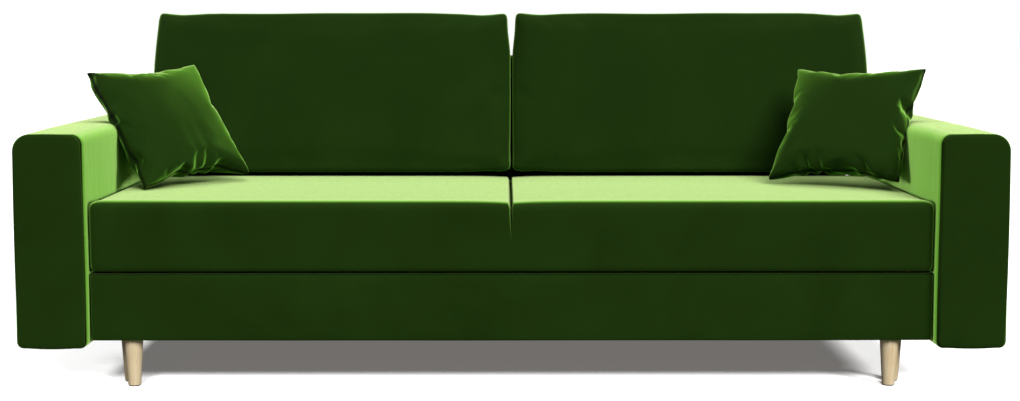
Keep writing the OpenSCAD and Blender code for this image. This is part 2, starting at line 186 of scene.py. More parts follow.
def make_velvet(name):
    """Short-pile green velvet over padding."""
    material, tree, shader, place = new_finish(name)
    brushed = spread(tree, pattern(tree, place, 0.22, 3.0, 0.6), 0.35, 0.7)
    streak_place = stretched(tree, place, (1, 1, 0.09))
    streaks = spread(tree, pattern(tree, streak_place, 12 * MM, 2.0), 0.35, 0.65)
    pile = pattern(tree, place, PILE, 1.0)
    body = mixed(tree, brushed, linear(VELVET_DEEP), linear(VELVET_BRUSHED))
    # Painted sheen: the more edge on the surface is seen, the more the lit and pale greens replace the body
    # colour.
    edge = add_node(tree, "ShaderNodeLayerWeight", {"Blend": 0.5}).outputs["Facing"]
    glow = spread(tree, edge, 0.28, 0.80)
    glow = add_node(tree, "ShaderNodeMath", {0: glow, 1: 1.7}, operation="POWER").outputs[0]
    nap = add_node(tree, "ShaderNodeMath", {0: streaks, 1: 0.08, 2: 0.92}, operation="MULTIPLY_ADD")
    glow = add_node(tree, "ShaderNodeMath", {0: glow, 1: nap.outputs[0]}, operation="MULTIPLY").outputs[0]
    # Painted shade: the stored attribute darkens the colour and grain in seams, in the slit and where cloth rests
    # on cloth.
    painted_shade = add_node(tree, "ShaderNodeAttribute", {}, attribute_name="painted_shade").outputs["Fac"]
    painted_shade_keep = spread(tree, painted_shade, 0, 1, 1, 0.04)
    glow = add_node(tree, "ShaderNodeMath", {0: glow, 1: painted_shade_keep}, operation="MULTIPLY").outputs[0]
    painted_sheen_colour = mixed(tree, spread(tree, edge, 0.70, 1.0), linear(VELVET_PAINTED_SHEEN), linear(VELVET_PAINTED_SHEEN_PALE))
    colour = mixed(tree, glow, body, painted_sheen_colour)
    grain = spread(tree, pile, 0.3, 0.7, 0.88, 1.12)
    grain = add_node(tree, "ShaderNodeMath", {0: grain, 1: painted_shade_keep}, operation="MULTIPLY").outputs[0]
    shade = add_node(tree, "ShaderNodeCombineColor", {0: grain, 1: grain, 2: grain}).outputs[0]
    colour = mixed(tree, 1.0, colour, shade, "MULTIPLY")
    tree.links.new(colour, shader.inputs["Base Color"])
    waves = bumped(tree, pattern(tree, place, 45 * MM, 2.0, 0.3), 0.5 * MM)
    tree.links.new(bumped(tree, pile, 0.07 * MM, waves), shader.inputs["Normal"])
    set_values(shader, Roughness=0.9, Specular_IOR_Level=0.08)
    set_values(shader, Sheen_Weight=0.15, Sheen_Roughness=0.42, Sheen_Tint=linear(VELVET_SHEEN))
    return material


velvet = make_velvet("short_pile_velvet")
print("made", velvet.name)

# %% [markdown]
# ## Timber and boards
#
# The legs are beech: turned, so the grain runs along the leg, pale, with short darker flecks, under a satin
# lacquer. The hidden rails are planed pine, with wider growth bands. Chipboard shows its flakes on every
# face, and hardboard is one even brown felt of fibres.


# %% Wood finishes
def make_wood(name, pale, dark, along, ring, fleck, roughness):
    """Planed or turned timber with its grain along one axis."""
    material, tree, shader, place = new_finish(name)
    long_way = [1.0, 1.0, 1.0]
    long_way[along] = 0.05
    grain_place = stretched(tree, place, long_way)
    bands = spread(tree, pattern(tree, grain_place, ring, 3.0, 0.8), 0.3, 0.7)
    flecks = spread(tree, pattern(tree, grain_place, fleck, 1.0), 0.58, 0.72)
    colour = mixed(tree, bands, linear(pale), linear(dark))
    worn = spread(tree, flecks, 0, 1, 0, 0.35)
    colour = mixed(tree, worn, colour, [v * 0.6 for v in linear(dark)[:3]] + [1.0])
    tree.links.new(colour, shader.inputs["Base Color"])
    tree.links.new(bumped(tree, flecks, -0.08 * MM), shader.inputs["Normal"])
    rough = spread(tree, bands, 0, 1, roughness, roughness + 0.12)
    tree.links.new(rough, shader.inputs["Roughness"])
    return material


def make_board(name, pale, dark, flake, roughness):
    """Pressed wood: flakes or fibres glued into a board."""
    material, tree, shader, place = new_finish(name)
    cells = {"Vector": place, "Scale": 1 / flake, "Randomness": 1.0}
    chips = add_node(tree, "ShaderNodeTexVoronoi", cells).outputs["Color"]
    tone = add_node(tree, "ShaderNodeRGBToBW", {"Color": chips}).outputs[0]
    dust = pattern(tree, place, flake / 3, 2.0)
    tone = add_node(tree, "ShaderNodeMath", {0: tone, 1: dust}, operation="MULTIPLY").outputs[0]
    colour = mixed(tree, spread(tree, tone, 0.1, 0.45), linear(dark), linear(pale))
    tree.links.new(colour, shader.inputs["Base Color"])
    tree.links.new(bumped(tree, dust, 0.1 * MM), shader.inputs["Normal"])
    set_values(shader, Roughness=roughness)
    return material


beech = make_wood("turned_beech_satin_lacquer", "#ffedc6", "#f2d3a0", 2, 9 * MM, 2.2 * MM, 0.42)
pine = make_wood("planed_pine", "#e6cc99", "#cda263", 0, 14 * MM, 3 * MM, 0.6)
chipboard = make_board("raw_chipboard", "#cdb48a", "#8f7347", 5 * MM, 0.85)
hardboard = make_board("smooth_hardboard", "#8d6639", "#6d4b28", 1.2 * MM, 0.6)
print("made", beech.name, pine.name, chipboard.name, hardboard.name)

# %% [markdown]
# ## Metal, nylon and felt
#
# Zinc plating is a thin bright crystal layer that dulls in patches, so its roughness wanders. Spring wire is
# drawn, dark and smoother. Nylon rollers are cloudy off-white with a soft gloss, and the glides under the
# legs are pressed grey felt with loose fibres.


# %% Metal, nylon and felt finishes
def make_steel(name, tint, smooth, dull, cloud):
    """Plated or drawn steel whose gloss wanders in clouds."""
    material, tree, shader, place = new_finish(name)
    clouds = spread(tree, pattern(tree, place, cloud, 3.0, 0.5), 0.3, 0.7)
    colour = mixed(tree, clouds, linear(tint), [v * 0.72 for v in linear(tint)[:3]] + [1.0])
    tree.links.new(colour, shader.inputs["Base Color"])
    rough = spread(tree, clouds, 0, 1, smooth, dull)
    tree.links.new(rough, shader.inputs["Roughness"])
    scratches = pattern(tree, stretched(tree, place, (0.1, 1, 1)), 0.8 * MM, 1.0)
    tree.links.new(bumped(tree, scratches, 0.02 * MM), shader.inputs["Normal"])
    set_values(shader, Metallic=1.0)
    return material


def make_nylon(name, pale):
    """Moulded natural nylon, slightly cloudy."""
    material, tree, shader, place = new_finish(name)
    cloud = spread(tree, pattern(tree, place, 8 * MM, 2.0), 0.3, 0.7)
    colour = mixed(tree, cloud, linear(pale), [v * 0.86 for v in linear(pale)[:3]] + [1.0])
    tree.links.new(colour, shader.inputs["Base Color"])
    tree.links.new(bumped(tree, pattern(tree, place, 1 * MM), 0.02 * MM), shader.inputs["Normal"])
    set_values(shader, Roughness=0.38, Subsurface_Weight=0.1, Subsurface_Scale=0.002)
    return material


def make_felt(name, tone):
    """Pressed felt: short fibres every way."""
    material, tree, shader, place = new_finish(name)
    fibres = pattern(tree, place, 0.7 * MM, 4.0, 1.2)
    colour = mixed(tree, fibres, linear(tone), [v * 2.2 for v in linear(tone)[:3]] + [1.0])
    tree.links.new(colour, shader.inputs["Base Color"])
    tree.links.new(bumped(tree, fibres, 0.3 * MM), shader.inputs["Normal"])
    set_values(shader, Roughness=0.95, Sheen_Weight=0.3, Sheen_Roughness=0.6)
    return material


zinc = make_steel("zinc_plated_steel", "#c3c6ca", 0.28, 0.5, 7 * MM)
wire = make_steel("drawn_spring_steel", "#8b8d92", 0.22, 0.36, 20 * MM)
nylon = make_nylon("natural_moulded_nylon", "#e6e5dc")
felt = make_felt("pressed_felt", "#3b3633")
print("made", zinc.name, wire.name, nylon.name, felt.name)

# %% [markdown]
# ## The frame's own finishes
#
# The record says which material slot each CAD node takes. Every node gets its finish from that, so nothing
# of the frame keeps a plain colour. The soft blocks get velvet too, though upholstery will replace them.

# %% Give each CAD node its finish
FINISH = {
    "velvet": velvet,
    "velvet_over_foam": velvet,
    "velvet_over_fibre": velvet,
    "pine": pine,
    "chipboard": chipboard,
    "hardboard": hardboard,
    "beech": beech,
    "zinc_plated_steel": zinc,
    "spring_steel": wire,
    "nylon": nylon,
    "felt": felt,
}
slot_of = {part["node"]: part["material_slot"] for part in frame["record"]["subparts"]}
for node_name, node_object in frame["nodes"].items():
    node_object.data.materials.clear()
    node_object.data.materials.append(FINISH[slot_of[node_name]])
print("finished", len(slot_of), "CAD nodes")

# %% [markdown]
# ## Working like a modeller
#
# Each new piece starts as a primitive at its real size and place. The helpers below do what a modeller does
# by hand: deselect everything, pick edges or faces by where they are, round them, and cut the surface into a
# grid so that it can bend. The place always ends up in the mesh, with the object itself at the origin.


# %% Modelling helpers
def only(piece):
    """Selects this piece alone and makes it active."""
    bpy.ops.object.select_all(action="DESELECT")
    piece.select_set(True)
    bpy.context.view_layer.objects.active = piece


def settle(piece):
    """Moves the piece's place, turn and scale into its mesh."""
    only(piece)
    bpy.ops.object.transform_apply(location=True, rotation=True, scale=True)


def points_of(piece):
    """The mesh points as an array, one row each."""
    co = np.empty(len(piece.data.vertices) * 3)
    piece.data.vertices.foreach_get("co", co)
    return co.reshape(-1, 3)


def put_points(piece, co):
    """Writes moved points back into the mesh."""
    piece.data.vertices.foreach_set("co", np.ascontiguousarray(co, dtype=np.float32).ravel())
    piece.data.update()


def add_block(name, low, high):
    """A cube primitive stretched between two corners."""
    bpy.ops.object.select_all(action="DESELECT")
    middle = [(a + b) / 2 for a, b in zip(low, high)]
    bpy.ops.mesh.primitive_cube_add(size=1, location=middle)
    piece = bpy.context.object
    piece.name = name
    piece.data.name = name
    piece.scale = [b - a for a, b in zip(low, high)]
    settle(piece)
    return piece


def pick_edges(piece, wanted):
    """Selects the edges whose two ends both pass a test, and opens edit mode on them."""
    only(piece)
    bpy.ops.object.mode_set(mode="EDIT")
    bpy.ops.mesh.select_mode(type="EDGE")
    bpy.ops.mesh.select_all(action="DESELECT")
    bpy.ops.object.mode_set(mode="OBJECT")
    mesh = piece.data
    for edge in mesh.edges:
        a, b = (mesh.vertices[v].co for v in edge.vertices)
        edge.select = wanted(a, b)
    bpy.ops.object.mode_set(mode="EDIT")


def round_edges(piece, wanted, radius, steps=5):
    """Bevels the picked edges into an arc."""
    pick_edges(piece, wanted)
    bpy.ops.mesh.bevel(offset=radius, segments=steps, profile=0.5, affect="EDGES")
    bpy.ops.object.mode_set(mode="OBJECT")


def slice_up(piece, axis, step):
    """Cuts right through the piece at even distances along one axis, so that its skin becomes a grid."""
    co = points_of(piece)[:, axis]
    count = max(1, round((co.max() - co.min()) / step))
    only(piece)
    bpy.ops.object.mode_set(mode="EDIT")
    for place in np.linspace(co.min(), co.max(), count + 1)[1:-1]:
        at = [0.0, 0.0, 0.0]
        normal = [0.0, 0.0, 0.0]
        at[axis] = place
        normal[axis] = 1.0
        bpy.ops.mesh.select_all(action="SELECT")
        bpy.ops.mesh.bisect(plane_co=at, plane_no=normal, threshold=0.00001)
    bpy.ops.object.mode_set(mode="OBJECT")


def use_modifier(piece, kind, **settings):
    """Adds a modifier and applies it."""
    only(piece)
    modifier = piece.modifiers.new(kind.lower(), kind)
    for name, value in settings.items():
        setattr(modifier, name, value)
    bpy.ops.object.modifier_apply(modifier=modifier.name)


def shade_soft(piece, angle=60):
    """Smooth shading, except over edges sharper than the angle."""
    only(piece)
    bpy.ops.object.shade_smooth_by_angle(angle=math.radians(angle))


def crown(piece, amounts, low, high, power=4):
    """Swells each face of a box-shaped piece by its amount in the middle, and leaves its edges."""
    co = points_of(piece)
    middle = (np.array(low) + np.array(high)) / 2
    half = (np.array(high) - np.array(low)) / 2
    t = np.clip((co - middle) / half, -1, 1)
    moved = co.copy()
    for axis, amount in enumerate(amounts):
        a, b = [i for i in range(3) if i != axis]
        dome = (1 - t[:, a] ** 2) * (1 - t[:, b] ** 2)
        moved[:, axis] += amount * np.sign(t[:, axis]) * np.abs(t[:, axis]) ** power * dome
    put_points(piece, moved)


def unevenness(piece, size, depth, seed, axes=(1, 1, 1)):
    """Padding is never quite even: moves points by slow noise, the same on every run."""
    co = points_of(piece)
    weights = Vector(axes)
    for i, point in enumerate(co):
        drift = noise.noise_vector((Vector(point) + Vector((seed, 0, 0))) / size)
        co[i] = Vector(point) + Vector(a * b for a, b in zip(drift, weights)) * depth
    put_points(piece, co)


def mark_painted_shade(piece, amounts):
    """Stores how deep in painted shade each point lies, from 0 to 1, for the velvet to darken."""
    stored = piece.data.attributes
    attribute = stored.get("painted_shade") or stored.new("painted_shade", "FLOAT", "POINT")
    amounts = np.clip(amounts, 0, 1)
    attribute.data.foreach_set("value", np.ascontiguousarray(amounts, dtype=np.float32))


def smooth_ramp(values, start, end):
    """0 before start, 1 after end, smooth between."""
    t = np.clip((values - start) / (end - start), 0, 1)
    return t * t * (3 - 2 * t)


def upholster(piece, body, slot, fill, *nodes):
    """Gives a finished piece the velvet, hangs it on the body it rides on and hides the CAD blocks it stands for;
    slot and fill are not used.
    """
    piece.data.materials.clear()
    piece.data.materials.append(velvet)
    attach(piece, body)
    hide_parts(*nodes)
    low, high = points_of(piece).min(0), points_of(piece).max(0)
    print(piece.name, len(piece.data.polygons), "faces", np.round(low, 3), np.round(high, 3))


def corners(node_name):
    """A CAD node's two corners as plain lists."""
    low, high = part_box(node_name)
    return list(low), list(high)


def mirrored_copy(piece, name):
    """A copy on the other side of the sofa, turned right side out again."""
    twin = piece.copy()
    twin.data = piece.data.copy()
    twin.name = name
    twin.data.name = name
    scene.collection.objects.link(twin)
    co = points_of(twin)
    co[:, 0] *= -1
    put_points(twin, co)
    only(twin)
    bpy.ops.object.mode_set(mode="EDIT")
    bpy.ops.mesh.select_all(action="SELECT")
    bpy.ops.mesh.flip_normals()
    bpy.ops.object.mode_set(mode="OBJECT")
    return twin


print("modelling helpers ready")

# %% [markdown]
# ## Arms
#
# Each arm is a timber box wrapped in thin wadding and velvet. The cover runs round the top, the sides and the
# bottom in one length. A separate padded panel closes the front, sewn in a few millimetres inside the arm's
# outline. The seam between them shows as a fine dark groove: both edges roll into it, and painted shade
# darkens the cloth where it dives in. A block gives the wrap: its long edges are rounded, most at the top
# outside, a grid lets its faces swell a few millimetres, and both ends roll over a smaller radius.

# %% Arm covers
ARM_EDGE = 25 * MM
OUTER_EDGE = 40 * MM
LOWER_EDGE = 16 * MM
SEAM_ROLL = 4.5 * MM
WADDING = np.array([3.0, 0.0, 2.0]) * MM
arm_low, arm_high = corners("arm_cover_right")


def along_y(a, b):
    """True for an edge that runs from front to back."""
    return abs(a.y - b.y) > 5 * MM


def round_long_edges(piece, low, high, less):
    """Rounds the edges that run from front to back: soft on top, softest outside, crisp below."""
    middle_x = (low[0] + high[0]) / 2
    middle_z = (low[2] + high[2]) / 2

    def below(a, b):
        return along_y(a, b) and a.z < middle_z

    def inner_top(a, b):
        return along_y(a, b) and a.z > middle_z and a.x < middle_x - 20 * MM

    def outer_top(a, b):
        return along_y(a, b) and min(a.z, b.z) > high[2] - MM and a.x > high[0] - MM

    round_edges(piece, below, LOWER_EDGE - less, 5)
    round_edges(piece, inner_top, ARM_EDGE - less, 7)
    round_edges(piece, outer_top, OUTER_EDGE - less, 8)


def make_arm_cover():
    """The right arm's wrap."""
    low, high = arm_low, list(np.array(arm_high) + WADDING)
    piece = add_block("arm_upholstery_right", low, high)
    round_long_edges(piece, low, high, 0)
    round_edges(piece, lambda a, b: max(a.y, b.y) < arm_low[1] + MM, SEAM_ROLL, 4)
    round_edges(piece, lambda a, b: min(a.y, b.y) > arm_high[1] - MM, SEAM_ROLL, 4)
    slice_up(piece, 1, 24 * MM)
    slice_up(piece, 2, 22 * MM)
    slice_up(piece, 0, 16 * MM)
    crown(piece, (3 * MM, 0, 3 * MM), low, high)
    unevenness(piece, 0.30, 1.6 * MM, 3.0, (1, 0, 1))
    # Painted shade: the front end of the cover, where it dives into the seam, is darkened.
    mark_painted_shade(piece, 1 - smooth_ramp(points_of(piece)[:, 1], arm_low[1], arm_low[1] + 1.5 * MM))
    shade_soft(piece)
    return piece


arm_right = make_arm_cover()
arm_left = mirrored_copy(arm_right, "arm_upholstery_left")
upholster(arm_right, "sofa_frame", "velvet", 0.9, "arm_cover_right")
upholster(arm_left, "sofa_frame", "velvet", 0.9, "arm_cover_left")

# %% Arm front panels
PANEL_SINK = 2 * MM
panel_low, panel_high = corners("arm_front_panel_right")


def make_arm_panel():
    """The padded panel on the front of the right arm, sewn in just inside the arm's outline."""
    low = [panel_low[0], panel_low[1] + MM, panel_low[2]]
    high = list(np.array([panel_high[0], panel_high[1] + PANEL_SINK, panel_high[2]]) + WADDING)
    piece = add_block("arm_front_pad_right", low, high)
    round_long_edges(piece, low, high, panel_low[0] - arm_low[0])
    round_edges(piece, lambda a, b: max(a.y, b.y) < low[1] + MM, 4.5 * MM, 5)
    slice_up(piece, 1, 3 * MM)
    slice_up(piece, 2, 16 * MM)
    slice_up(piece, 0, 10 * MM)
    crown(piece, (2.5 * MM, 1.5 * MM, 4 * MM), low, high, 3)
    unevenness(piece, 0.2, 0.8 * MM, 5.0, (0.3, 1, 0.3))
    # Painted shade: the panel's back edge, where it dives into the seam, is darkened.
    mark_painted_shade(piece, smooth_ramp(points_of(piece)[:, 1], high[1] - 6 * MM, high[1] - 3 * MM))
    shade_soft(piece)
    return piece


panel_right = make_arm_panel()
panel_left = mirrored_copy(panel_right, "arm_front_pad_left")
upholster(panel_right, "sofa_frame", "velvet", 0.9, "arm_front_panel_right")
upholster(panel_left, "sofa_frame", "velvet", 0.9, "arm_front_panel_left")

# %% [markdown]
# ## Front panel and rear cover
#
# The panel under the seat is a board with a thin pad, pulled tight, so it is flat with softly rolled edges.
# Its cloth is folded over the board's top edge, so no raw board shows in the gap under the seat. The rear
# cover is only cloth over a board, stapled underneath, so it is thinner and flatter still.


# %% Thin padded boards
def make_thin_pad(name, node_name, edge, swell, step):
    """A thin pad over a board, with all its edges rolled."""
    low, high = corners(node_name)
    piece = add_block(name, low, high)
    round_edges(piece, lambda a, b: True, edge, 4)
    slice_up(piece, 0, step)
    slice_up(piece, 2, step / 2)
    crown(piece, (0, swell, swell / 2), low, high, 1)
    unevenness(piece, 0.25, 0.8 * MM, 8.0, (0, 1, 0.4))
    shade_soft(piece)
    return piece


def fold_over_board(piece, node_name, thick):
    """Adds the flap of cloth that is folded over a board's top edge and stapled behind it."""
    low, high = corners(node_name)
    flap_low = [low[0], low[1] - 6 * MM, high[2] - MM]
    flap_high = [high[0], high[1] + thick, high[2] + thick]
    flap = add_block("flap", flap_low, flap_high)
    round_edges(flap, lambda a, b: True, 0.4 * thick, 2)
    slice_up(flap, 0, 60 * MM)
    only(flap)
    bpy.ops.object.shade_smooth()
    piece.select_set(True)
    bpy.context.view_layer.objects.active = piece
    bpy.ops.object.join()


front_pad = make_thin_pad("front_panel_pad", "front_panel_cover", 4.5 * MM, 1.5 * MM, 40 * MM)
fold_over_board(front_pad, "front_panel_board", 0.9 * MM)
panel_top = corners("front_panel_cover")[1][2]
# Painted shade: the top edge of the panel, in the gap under the seat, is darkened.
mark_painted_shade(front_pad, 0.75 * smooth_ramp(points_of(front_pad)[:, 2], panel_top - 3.5 * MM, panel_top))
upholster(front_pad, "pull_out_seat", "velvet", 0.9, "front_panel_cover")
rear_pad = make_thin_pad("rear_cover_cloth", "rear_cover", 2 * MM, 0.5 * MM, 50 * MM)
upholster(rear_pad, "sofa_frame", "velvet", 0.95, "rear_cover")

# %% [markdown]
# ## Filling a cushion
#
# A stuffed cover is not drawn, it is inflated. The block is remeshed into even small quads, the Cloth
# modifier blows it up a little with gravity off, and each point is stopped after a set distance, as foam
# would stop it. Faces swell, corners stay back, and small tensions appear along the edges.


# %% Cloth filling
def even_quads(piece, size):
    """Rebuilds the skin as even quads of about this size."""
    only(piece)
    piece.data.remesh_voxel_size = size
    piece.data.remesh_voxel_adaptivity = 0
    bpy.ops.object.voxel_remesh()


def fill_with_air(piece, cap, pressure=4.0, stiffness=15.0, bending=0.5, frames=20, shrink=0.0):
    """Runs the cloth simulation and applies it; no point ends further than cap from its start."""
    start = points_of(piece)
    only(piece)
    modifier = piece.modifiers.new("filling", "CLOTH")
    cloth = modifier.settings
    cloth.quality = 5
    cloth.mass = 0.3
    cloth.tension_stiffness = stiffness
    cloth.compression_stiffness = stiffness
    cloth.shear_stiffness = stiffness / 3
    cloth.bending_stiffness = bending
    cloth.use_pressure = True
    cloth.uniform_pressure_force = pressure
    cloth.shrink_min = shrink
    cloth.effector_weights.gravity = 0
    modifier.point_cache.frame_start = 1
    modifier.point_cache.frame_end = frames
    for step in range(1, frames + 1):
        scene.frame_set(step)
    bpy.ops.object.modifier_apply(modifier=modifier.name)
    scene.frame_set(1)
    move = points_of(piece) - start
    far = np.linalg.norm(move, axis=1, keepdims=True)
    move *= np.minimum(1.0, cap / np.maximum(far, 1e-9))
    put_points(piece, start + move)
    print(piece.name, "filled,", len(start), "points, moved up to", round(float(far.max()) / MM, 1), "mm")


def fit_box(piece, low, high):
    """Scales a filled piece so that it is exactly as big as its box, because filling pulls it in."""
    co = points_of(piece)
    now_low, now_high = co.min(0), co.max(0)
    share = (co - now_low) / (now_high - now_low)
    put_points(piece, np.array(low) + share * (np.array(high) - np.array(low)))


def true_up(piece, axis, along, low, high, ends=14 * MM, share=1.0):
    """Straightens two opposite sides: every strip across the piece is stretched from low to high."""
    co = points_of(piece)
    place = co[:, along]
    stations = np.linspace(place.min() + ends, place.max() - ends, 24)
    strips = [co[np.abs(place - station) < stations[1] - stations[0], axis] for station in stations]
    start = np.interp(place, stations, [strip.min() for strip in strips])
    end = np.interp(place, stations, [strip.max() for strip in strips])
    straight = low + (co[:, axis] - start) / (end - start) * (high - low)
    co[:, axis] += share * (straight - co[:, axis])
    put_points(piece, co)


print("filling ready")

# %% [markdown]
# ## Seat
#
# The seat is one block of foam in one cover, with a slit down the middle: it runs the whole depth over the
# top, and half way down the front, where it narrows to a point. A remesh would erase such a fine slit, so
# the block is filled first. Then close cuts on both sides of the middle give the slit its walls, and the
# points between them are pushed in, with edges that roll like real upholstery.

# %% Seat upholstery
seat_low, seat_high = corners("seat_cushion")
SEAT_SWELL = 3 * MM
SEAT_EDGE = 15 * MM
SLIT_DROP = 95 * MM
SLIT_DEPTH = 70 * MM
SEAT_QUAD = 12 * MM
LEFT_ROLL = 12 * MM
RIGHT_ROLL = 4.5 * MM
SLIT_SAG = 4 * MM
FRONT_LIFT = 3 * MM


def cut_planes(piece, places):
    """Cuts the skin at these places along X."""
    only(piece)
    bpy.ops.object.mode_set(mode="EDIT")
    for place in places:
        bpy.ops.mesh.select_all(action="SELECT")
        bpy.ops.mesh.bisect(plane_co=(place, 0, 0), plane_no=(1, 0, 0), threshold=0.00001)
    bpy.ops.object.mode_set(mode="OBJECT")


def press_slit(piece):
    """Pushes the middle of the top down and of the front back, into a slit with rolled edges."""
    co = points_of(piece)
    drop = (seat_high[2] - co[:, 2]) / SLIT_DROP
    open_share = np.clip(1 - drop, 0, 1) ** 0.6
    roll = np.where(co[:, 0] < 0, LEFT_ROLL, RIGHT_ROLL) * np.maximum(open_share, 0.02)
    t = np.clip(1 - np.abs(co[:, 0]) / roll, 0, 1)
    depth = 1 - np.sqrt(np.clip(1 - t**2.6, 0, 1))
    top = smooth_ramp(co[:, 2], seat_high[2] - 14 * MM, seat_high[2] - 5 * MM)
    front = 1 - smooth_ramp(co[:, 1], seat_low[1] + 5 * MM, seat_low[1] + 14 * MM)
    above = (drop < 1) & (co[:, 2] > seat_low[2] + 20 * MM)
    co[:, 2] -= np.where(above, SLIT_DEPTH * depth * top, 0)
    co[:, 1] += np.where(above, SLIT_DEPTH * depth * front * open_share, 0)
    at_slit = np.exp(-np.abs(co[:, 0]) / (45 * MM))
    at_slit *= smooth_ramp(co[:, 2], seat_high[2] - 60 * MM, seat_high[2])
    co[:, 2] -= SLIT_SAG * at_slit
    at_front = 1 - smooth_ramp(co[:, 1], seat_low[1] + 20 * MM, seat_low[1] + 90 * MM)
    at_front *= smooth_ramp(co[:, 2], seat_high[2] - 60 * MM, seat_high[2] - 10 * MM)
    co[:, 2] += FRONT_LIFT * at_front
    put_points(piece, co)
    # Painted shade: the walls of the slit are darkened where they dive in.
    on_skin = np.maximum(top, front) * above
    mark_painted_shade(piece, smooth_ramp(depth * on_skin, 0.06, 0.3))


def make_seat():
    """The whole seat, filled and slit."""
    low = [v + SEAT_SWELL for v in seat_low]
    high = [v - SEAT_SWELL for v in seat_high]
    piece = add_block("seat_upholstery", low, high)
    middle = (low[2] + high[2]) / 2
    round_edges(piece, lambda a, b: max(a.z, b.z) > middle, SEAT_EDGE, 3)
    round_edges(piece, lambda a, b: max(a.z, b.z) < middle and abs(a.z - b.z) < MM, 4 * MM, 1)
    even_quads(piece, SEAT_QUAD)
    fill_with_air(piece, SEAT_SWELL)
    use_modifier(piece, "SUBSURF", levels=1, render_levels=1)
    fit_box(piece, [*seat_low[:2], seat_low[2] - 1.5 * MM], seat_high)
    true_up(piece, 0, 1, seat_low[0] - 2 * MM, seat_high[0] + 2 * MM)
    cuts = [0.0]
    for signed_roll in (-LEFT_ROLL, RIGHT_ROLL):
        cuts += [share * signed_roll for share in (0.04, 0.12, 0.22, 0.35, 0.5, 0.65, 0.8, 1.0)]
    cut_planes(piece, cuts)
    press_slit(piece)
    only(piece)
    bpy.ops.object.shade_smooth()
    return piece


seat = make_seat()
upholster(seat, "pull_out_seat", "velvet_over_foam", 0.95, "seat_cushion")

# %% [markdown]
# ## Backrest
#
# Behind the loose cushions stands a rigid backrest: a pine frame in foam and velvet, with rounded long
# edges, leaning back 12 degrees. It is built upright around its hinge line and then leaned. Its ends stay
# flat, because the hinge bushes sit in them. A panel closes its back.

# %% Rigid backrest
LEAN = math.radians(12)
hinge = next(j for j in frame["joints"] if j["name"] == "backrest_fold")["pos_m"]
rest_low, rest_high = corners("backrest_upholstery")
REST_THICK = 95 * MM
REST_EDGE = 30 * MM
REAR_PANEL_HALF = 905 * MM
rest_top = (rest_high[2] - hinge[2] - REST_EDGE * (1 - math.sin(LEAN))) / math.cos(LEAN) + REST_EDGE


def lean_back(piece, pivot):
    """Leans an upright piece back about a line along X."""
    turn = Matrix.Translation(pivot) @ Matrix.Rotation(-LEAN, 4, "X")
    piece.data.transform(turn)
    piece.data.update()


def make_backrest():
    """The backrest's padded body."""
    half = REST_THICK / 2
    low = [rest_low[0] + 1.5 * MM, -half + 2 * MM, -half]
    high = [rest_high[0] - 1.5 * MM, half - 2 * MM, rest_top - 3 * MM]
    piece = add_block("backrest_pad", low, high)
    round_edges(piece, lambda a, b: abs(a.x - b.x) > 1, REST_EDGE, 7)
    round_edges(piece, lambda a, b: max(a.x, b.x) < low[0] + MM, 5 * MM, 3)
    round_edges(piece, lambda a, b: min(a.x, b.x) > high[0] - MM, 5 * MM, 3)
    slice_up(piece, 0, 45 * MM)
    slice_up(piece, 2, 30 * MM)
    crown(piece, (0, 1.5 * MM, 2.5 * MM), low, high)
    unevenness(piece, 0.3, 1.5 * MM, 12.0, (0, 1, 0.5))
    lean_back(piece, hinge)
    shade_soft(piece)
    return piece


backrest_pad = make_backrest()
upholster(backrest_pad, "backrest", "velvet_over_foam", 0.9, "backrest_upholstery")


def make_backrest_rear():
    """The flat cloth panel let into the back of the backrest."""
    low = [-REAR_PANEL_HALF, REST_THICK / 2 - 8 * MM, -12 * MM]
    high = [REAR_PANEL_HALF, REST_THICK / 2 + 0.5 * MM, rest_top - 50 * MM]
    piece = add_block("backrest_rear_cloth", low, high)
    round_edges(piece, lambda a, b: True, 3 * MM, 3)
    slice_up(piece, 0, 50 * MM)
    slice_up(piece, 2, 30 * MM)
    crown(piece, (0, 1 * MM, 0), low, high, 1)
    lean_back(piece, hinge)
    shade_soft(piece)
    return piece


backrest_rear = make_backrest_rear()
upholster(backrest_rear, "backrest", "velvet", 0.95, "backrest_rear_panel")

# %% [markdown]
# ## Back cushions
#
# Each loose back cushion is a boxed cover: a front and a back panel joined by a strip as wide as the cushion
# is thick. It is filled so firmly that its corners stay crisp, while its free end bulges. It leans on the
# backrest and stands flat on the seat. Its faces are dished a little before filling, so that the swelling
# brings them out level and keeps the corners.

# %% Back cushions
CUSHION_THICK = 135 * MM
CUSHION_QUAD = 10 * MM
CUSHION_EDGE = 13 * MM
cushion_low, cushion_high = corners("back_cushion_right")
cushion_foot = (0, cushion_low[1], seat_high[2])
cushion_tall = (cushion_high[2] - seat_high[2]) / math.cos(LEAN)


def box_coordinates(co, low, high):
    """Each point's place in a box, from -1 to 1 along every axis."""
    middle = (np.array(low) + np.array(high)) / 2
    half = (np.array(high) - np.array(low)) / 2
    return np.clip((co - middle) / half, -1, 1)


def dish(piece, low, high, depth):
    """Presses the two big faces in, most in the middle."""
    co = points_of(piece)
    t = box_coordinates(co, low, high)
    hollow = (1 - t[:, 0] ** 8) * (1 - t[:, 2] ** 6)
    co[:, 1] -= depth * t[:, 1] * hollow
    put_points(piece, co)


